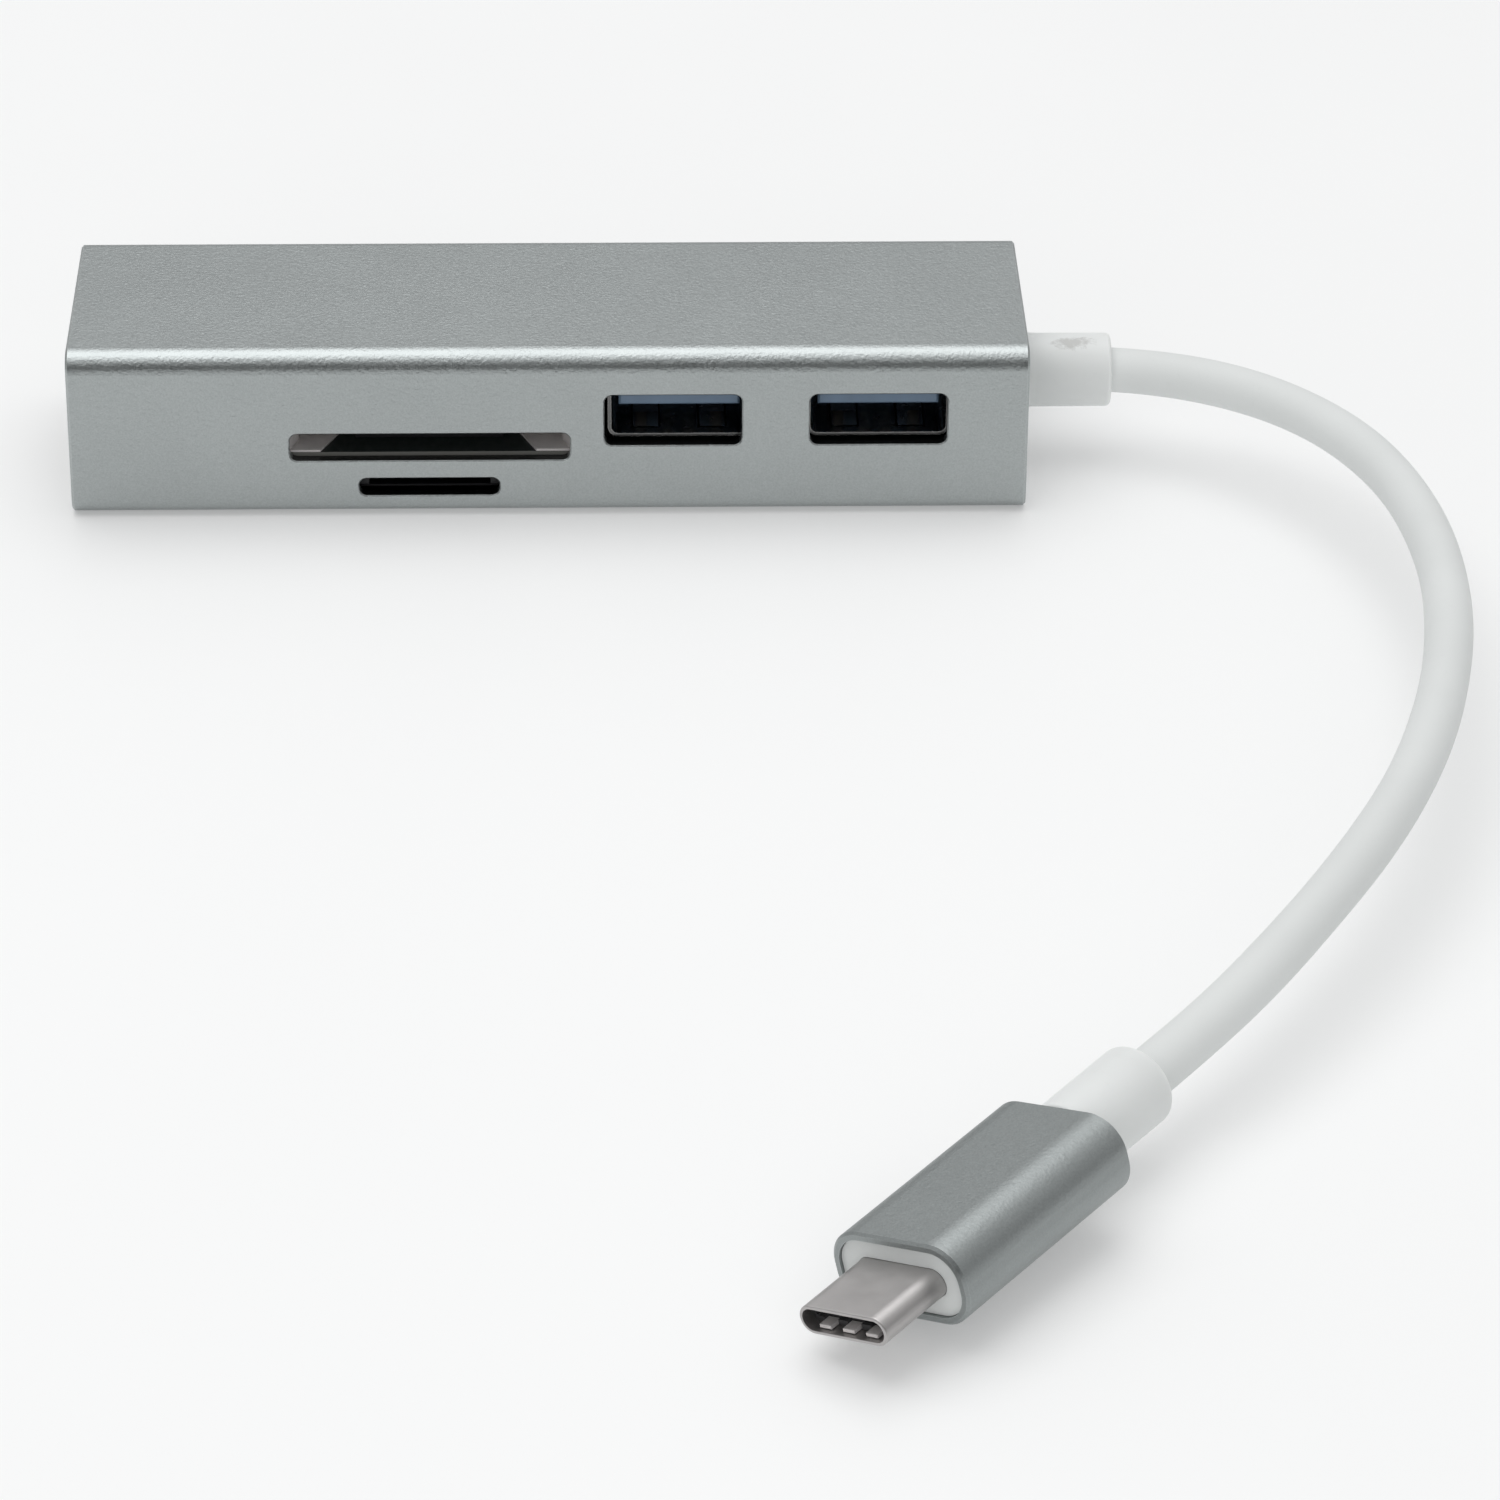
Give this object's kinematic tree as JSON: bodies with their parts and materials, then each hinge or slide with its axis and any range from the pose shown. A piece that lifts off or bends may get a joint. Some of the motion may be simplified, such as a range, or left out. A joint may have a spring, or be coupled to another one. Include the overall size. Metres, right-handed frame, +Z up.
{
  "type": "usb hub",
  "caption": "USB-C hub: slim metal case with USB-A, SD and microSD openings along its front, a network jack in one end and a short white cable to a USB-C plug.",
  "frame": {"origin": "centre of the case's footprint on the table", "axes": "+Z up, +X along the case towards the cable, -Y the side with the ports"},
  "size_m": [0.1243, 0.1637, 0.0164],
  "materials": {
    "case_metal": "fine bead-blasted and anodised, satin",
    "white_moulding": "smooth matte elastomer",
    "white_plastic": "matte",
    "nickel_sheet": "bright nickel plate",
    "steel_sheet": "plain rolled sheet",
    "plug_steel": "satin, drawn along its length",
    "blue_plastic": "matte",
    "black_plastic": "matte, slightly grained",
    "gold_contact": "flash gold plate",
    "board_green": "solder mask over glass laminate",
    "chip_black": "moulded epoxy",
    "ceramic_tan": "fired ceramic",
    "lamp_clear": "clear diffuser",
    "copper_wire": "coloured wire insulation",
    "can_metal": "plated can"
  },
  "bodies": {
    "case": {"case_sleeve": "case_metal", "end_cap_cable": "case_metal", "end_cap_ethernet": "case_metal", "main_board": "board_green", "usb_a_shell_1": "nickel_sheet", "usb_a_shell_2": "nickel_sheet", "usb_a_tongue_1": "blue_plastic", "usb_a_tongue_2": "blue_plastic", "usb_a_flat_contacts_1": "gold_contact", "usb_a_flat_contacts_2": "gold_contact", "sd_socket_frame": "steel_sheet", "sd_socket_base": "black_plastic", "sd_socket_cover": "steel_sheet", "microsd_socket_base": "black_plastic", "microsd_socket_cover": "steel_sheet", "ethernet_jack_shield": "nickel_sheet", "ethernet_jack_body": "black_plastic", "ethernet_lamp_left": "lamp_clear", "ethernet_lamp_right": "lamp_clear", "magnetics_module": "chip_black", "hub_controller_chip": "chip_black", "ethernet_controller_chip": "chip_black", "card_reader_chip": "chip_black", "voltage_regulator": "chip_black", "crystals": "can_metal", "power_inductor": "chip_black", "ceramic_capacitors": "ceramic_tan", "resistors": "chip_black", "cable_boot_hub": "white_moulding", "cable_crimp": "steel_sheet", "cable_wires": "copper_wire"},
    "cable_01": {"cable_segment_01": "white_moulding"},
    "cable_02": {"cable_segment_02": "white_moulding"},
    "cable_03": {"cable_segment_03": "white_moulding"},
    "cable_04": {"cable_segment_04": "white_moulding"},
    "cable_05": {"cable_segment_05": "white_moulding"},
    "cable_06": {"cable_segment_06": "white_moulding"},
    "cable_07": {"cable_segment_07": "white_moulding"},
    "cable_08": {"cable_segment_08": "white_moulding"},
    "cable_09": {"cable_segment_09": "white_moulding"},
    "cable_10": {"cable_segment_10": "white_moulding"},
    "cable_11": {"cable_segment_11": "white_moulding"},
    "cable_12": {"cable_segment_12": "white_moulding"},
    "plug": {"cable_boot_plug": "white_moulding", "plug_sleeve": "case_metal", "plug_insert": "white_plastic", "usb_c_shell": "plug_steel", "usb_c_insulator": "black_plastic", "usb_c_contacts_upper": "gold_contact", "usb_c_contacts_lower": "gold_contact", "usb_c_ground_springs": "steel_sheet", "usb_c_latches": "steel_sheet", "usb_c_board": "board_green"},
    "usb_a_springs_1": {"usb_a_spring_contacts_1": "gold_contact"},
    "usb_a_springs_2": {"usb_a_spring_contacts_2": "gold_contact"},
    "sd_springs": {"sd_contacts": "gold_contact"},
    "microsd_springs": {"microsd_contacts": "gold_contact"},
    "ethernet_springs": {"ethernet_contacts": "gold_contact"}
  },
  "joints": [
    {"name": "cable_bend", "type": "hinge", "parent": "case", "child": "cable_01", "pos_m": [0.0516, 0, 0.0084], "axis": [0, 0, 1], "range_deg": [-7.98, 19.95]},
    {"name": "cable_bend_follow_1", "type": "hinge", "parent": "cable_01", "child": "cable_02", "pos_m": [0.06256, -0.00401, 0.00872], "axis": [0, 0, 1], "range_deg": [-10.26, 24.9]},
    {"name": "cable_bend_follow_2", "type": "hinge", "parent": "cable_02", "child": "cable_03", "pos_m": [0.07086, -0.01223, 0.00899], "axis": [0, 0, 1], "range_deg": [-12.2, 29.75]},
    {"name": "cable_lift", "type": "hinge", "parent": "cable_03", "child": "cable_04", "pos_m": [0.07577, -0.02287, 0.00926], "axis": [-0.9593, -0.2823, 0], "range_deg": [0, 24]},
    {"name": "cable_bend_follow_3", "type": "hinge", "parent": "cable_04", "child": "cable_05", "pos_m": [0.07789, -0.03442, 0.00958], "axis": [0, 0, 1], "range_deg": [-6.48, 15.45]},
    {"name": "cable_bend_follow_4", "type": "hinge", "parent": "cable_05", "child": "cable_06", "pos_m": [0.07816, -0.04618, 0.0099], "axis": [0, 0, 1], "range_deg": [-4.68, 10.95]},
    {"name": "cable_lift_follow_1", "type": "hinge", "parent": "cable_06", "child": "cable_07", "pos_m": [0.07699, -0.05788, 0.01009], "axis": [-0.9877, 0.1564, 0], "range_deg": [-0.5, 11.3]},
    {"name": "cable_bend_follow_5", "type": "hinge", "parent": "cable_07", "child": "cable_08", "pos_m": [0.07451, -0.06938, 0.01008], "axis": [0, 0, 1], "range_deg": [-4.38, 10.2]},
    {"name": "cable_bend_follow_6", "type": "hinge", "parent": "cable_08", "child": "cable_09", "pos_m": [0.07075, -0.08052, 0.00983], "axis": [0, 0, 1], "range_deg": [-4.42, 10.3]},
    {"name": "cable_lift_follow_2", "type": "hinge", "parent": "cable_09", "child": "cable_10", "pos_m": [0.0657, -0.09114, 0.00931], "axis": [-0.8788, 0.4772, 0], "range_deg": [-11.3, 0.5]},
    {"name": "cable_bend_follow_7", "type": "hinge", "parent": "cable_10", "child": "cable_11", "pos_m": [0.05967, -0.10123, 0.00851], "axis": [0, 0, 1], "range_deg": [-3.24, 7.35]},
    {"name": "cable_bend_follow_8", "type": "hinge", "parent": "cable_11", "child": "cable_12", "pos_m": [0.05288, -0.11084, 0.00741], "axis": [0, 0, 1], "range_deg": [-2.06, 4.4]},
    {"name": "cable_lift_follow_3", "type": "hinge", "parent": "cable_12", "child": "plug", "pos_m": [0.04518, -0.11974, 0.00603], "axis": [-0.7096, 0.7046, 0], "range_deg": [-24.5, 0.5]},
    {"name": "usb_a_springs_1_flex", "type": "hinge", "parent": "case", "child": "usb_a_springs_1", "pos_m": [0.01195, -0.0025, 0.01072], "axis": [1, 0, 0], "range_deg": [-4.5, 0]},
    {"name": "usb_a_springs_2_flex", "type": "hinge", "parent": "case", "child": "usb_a_springs_2", "pos_m": [0.03024, -0.0025, 0.01072], "axis": [1, 0, 0], "range_deg": [-4.5, 0]},
    {"name": "sd_springs_flex", "type": "hinge", "parent": "case", "child": "sd_springs", "pos_m": [-0.01095, 0.0013, 0.00631], "axis": [1, 0, 0], "range_deg": [-5.5, 0]},
    {"name": "microsd_springs_flex", "type": "hinge", "parent": "case", "child": "microsd_springs", "pos_m": [-0.01105, -0.0038, 0.0039], "axis": [1, 0, 0], "range_deg": [0, 4]},
    {"name": "ethernet_springs_flex", "type": "hinge", "parent": "case", "child": "ethernet_springs", "pos_m": [-0.0415, 0, 0.0028], "axis": [0, 1, 0], "range_deg": [0, 9]}
  ],
  "couplings": [
    {"joint": "cable_bend_follow_1", "follows": "cable_bend", "ratio": 1.2231},
    {"joint": "cable_bend_follow_2", "follows": "cable_bend", "ratio": 1.4662},
    {"joint": "cable_bend_follow_3", "follows": "cable_bend", "ratio": 0.7494},
    {"joint": "cable_bend_follow_4", "follows": "cable_bend", "ratio": 0.5238},
    {"joint": "cable_lift_follow_1", "follows": "cable_lift", "ratio": 0.45},
    {"joint": "cable_bend_follow_5", "follows": "cable_bend", "ratio": 0.4862},
    {"joint": "cable_bend_follow_6", "follows": "cable_bend", "ratio": 0.4912},
    {"joint": "cable_lift_follow_2", "follows": "cable_lift", "ratio": -0.45},
    {"joint": "cable_bend_follow_7", "follows": "cable_bend", "ratio": 0.3434},
    {"joint": "cable_bend_follow_8", "follows": "cable_bend", "ratio": 0.1955},
    {"joint": "cable_lift_follow_3", "follows": "cable_lift", "ratio": -1}
  ]
}
